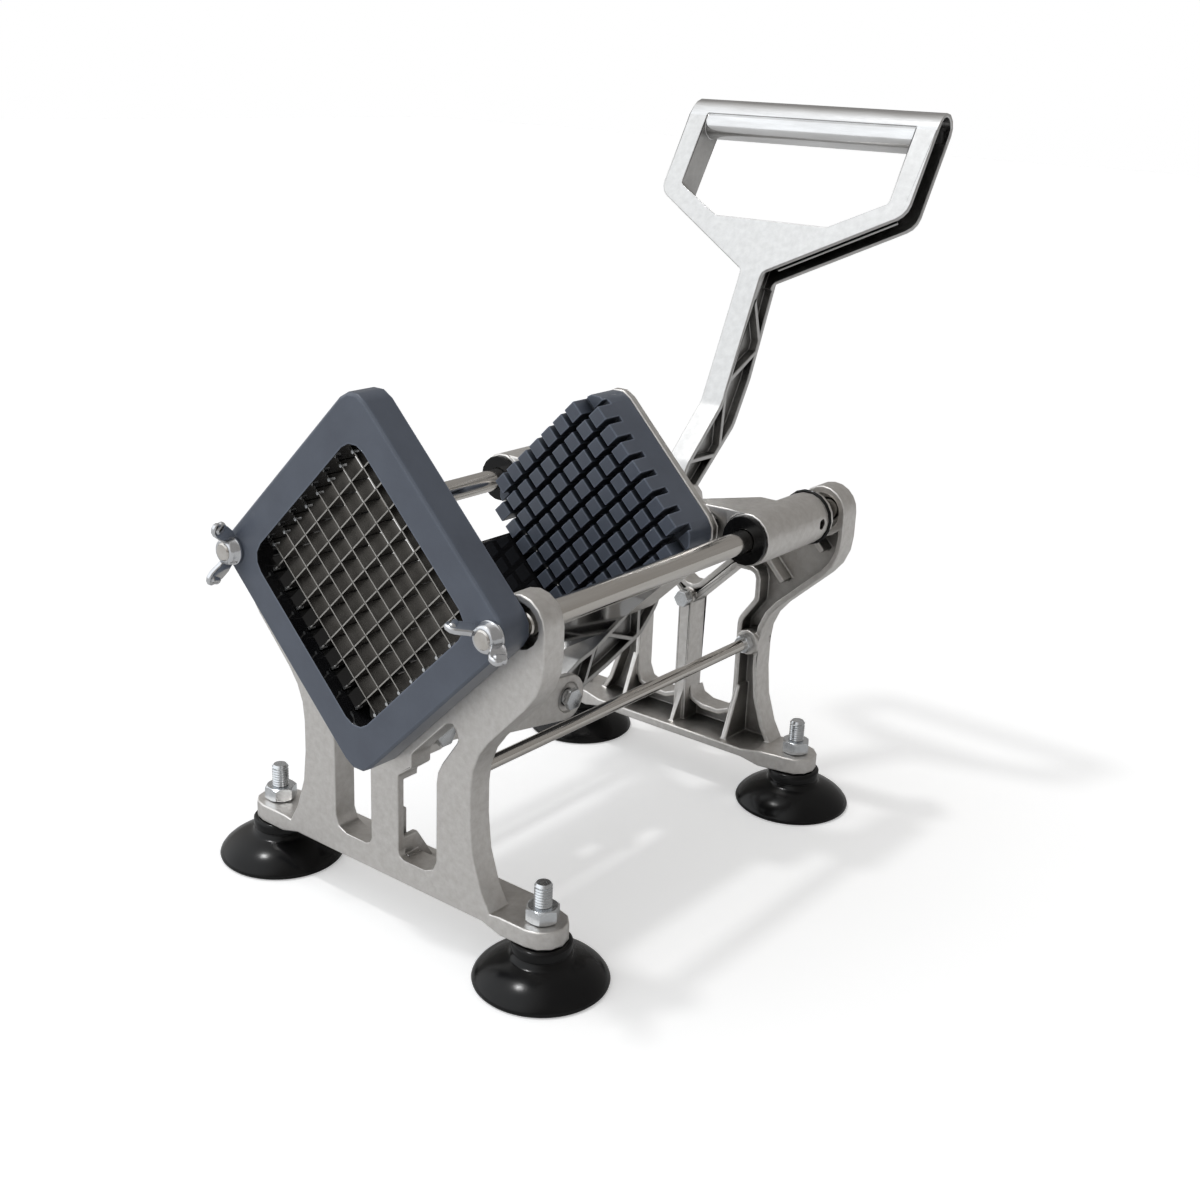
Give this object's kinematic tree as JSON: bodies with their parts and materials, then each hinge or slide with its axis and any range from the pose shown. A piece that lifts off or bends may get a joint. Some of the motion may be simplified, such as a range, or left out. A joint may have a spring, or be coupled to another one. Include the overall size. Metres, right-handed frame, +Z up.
{
  "type": "french fry cutter",
  "caption": "Lever-operated french fry cutter: a D-handle lever drives a fingered pusher along guide rods through a square grid of crossed blades; stands on suction cups.",
  "frame": {"origin": "centre of the overall footprint on the bench surface, with the lever at rest at the rear", "axes": "+X to the right seen from the front, +Y to the rear away from the blades, +Z up; cut pieces leave towards -Y"},
  "size_m": [0.2212, 0.3505, 0.3453],
  "materials": {
    "cast_aluminium": "tumbled casting, matte",
    "lever_aluminium": "tumbled casting, grip polished by use",
    "polished_steel": "ground and polished",
    "zinc_steel": "bright zinc plated",
    "bright_plate": "bright nickel plated",
    "blade_steel": "thin rolled stainless strip",
    "slate_plastic": "moulded, satin",
    "black_gloss_plastic": "moulded, glossy",
    "black_rubber": "moulded, slightly glossy"
  },
  "bodies": {
    "base": {"front_frame": "cast_aluminium", "rear_frame": "cast_aluminium", "guide_rod_left": "polished_steel", "guide_rod_right": "polished_steel", "rod_nut_left": "zinc_steel", "rod_nut_right": "zinc_steel", "tie_rod_left": "polished_steel", "tie_rod_right": "polished_steel", "tie_nut_front_left": "zinc_steel", "tie_nut_front_right": "zinc_steel", "tie_nut_rear_left": "zinc_steel", "tie_nut_rear_right": "zinc_steel", "blade_box": "slate_plastic", "blade_falling_1": "blade_steel", "blade_falling_2": "blade_steel", "blade_falling_3": "blade_steel", "blade_falling_4": "blade_steel", "blade_falling_5": "blade_steel", "blade_falling_6": "blade_steel", "blade_falling_7": "blade_steel", "blade_falling_8": "blade_steel", "blade_rising_1": "blade_steel", "blade_rising_2": "blade_steel", "blade_rising_3": "blade_steel", "blade_rising_4": "blade_steel", "blade_rising_5": "blade_steel", "blade_rising_6": "blade_steel", "blade_rising_7": "blade_steel", "blade_rising_8": "blade_steel", "potato_trough": "black_gloss_plastic", "foot_stud_front_left": "zinc_steel", "foot_stud_front_right": "zinc_steel", "foot_stud_rear_left": "zinc_steel", "foot_stud_rear_right": "zinc_steel", "foot_nut_front_left": "zinc_steel", "foot_nut_front_right": "zinc_steel", "foot_nut_rear_left": "zinc_steel", "foot_nut_rear_right": "zinc_steel", "suction_cup_front_left": "black_rubber", "suction_cup_front_right": "black_rubber", "suction_cup_rear_left": "black_rubber", "suction_cup_rear_right": "black_rubber", "stop_screw": "zinc_steel", "frame_pin_left": "polished_steel", "frame_pin_right": "polished_steel"},
    "carriage": {"carriage": "cast_aluminium", "pusher_block": "slate_plastic", "sleeve_ring_left": "black_rubber", "sleeve_ring_right": "black_rubber", "o_ring_left": "black_rubber", "o_ring_right": "black_rubber", "lever_pin": "polished_steel"},
    "lever": {"lever": "lever_aluminium"},
    "link": {"link": "cast_aluminium", "link_pin": "polished_steel"},
    "wing_nut_left": {"wing_nut_left": "bright_plate"},
    "wing_nut_right": {"wing_nut_right": "bright_plate"}
  },
  "joints": [
    {"name": "carriage_slide", "type": "slide", "parent": "base", "child": "carriage", "axis": [0, -1, 0], "range_m": [0, 0.137]},
    {"name": "lever_pivot", "type": "hinge", "parent": "carriage", "child": "lever", "pos_m": [0, 0.0559, 0.153], "axis": [1, 0, 0], "range_deg": [0, 64.7]},
    {"name": "link_pivot", "type": "hinge", "parent": "lever", "child": "link", "pos_m": [0, -0.0361, 0.076], "axis": [1, 0, 0], "range_deg": [-92, 0]},
    {"name": "wing_nut_left_turn", "type": "hinge", "parent": "base", "child": "wing_nut_left", "pos_m": [-0.075, -0.1674, 0.159], "axis": [0, 1, 0], "continuous": true},
    {"name": "wing_nut_right_turn", "type": "hinge", "parent": "base", "child": "wing_nut_right", "pos_m": [0.075, -0.1674, 0.159], "axis": [0, 1, 0], "continuous": true}
  ],
  "couplings": [
    {"joint": "lever_pivot", "follows": "carriage_slide", "rad_per_m": 8.2343},
    {"joint": "link_pivot", "follows": "carriage_slide", "rad_per_m": -11.71}
  ]
}
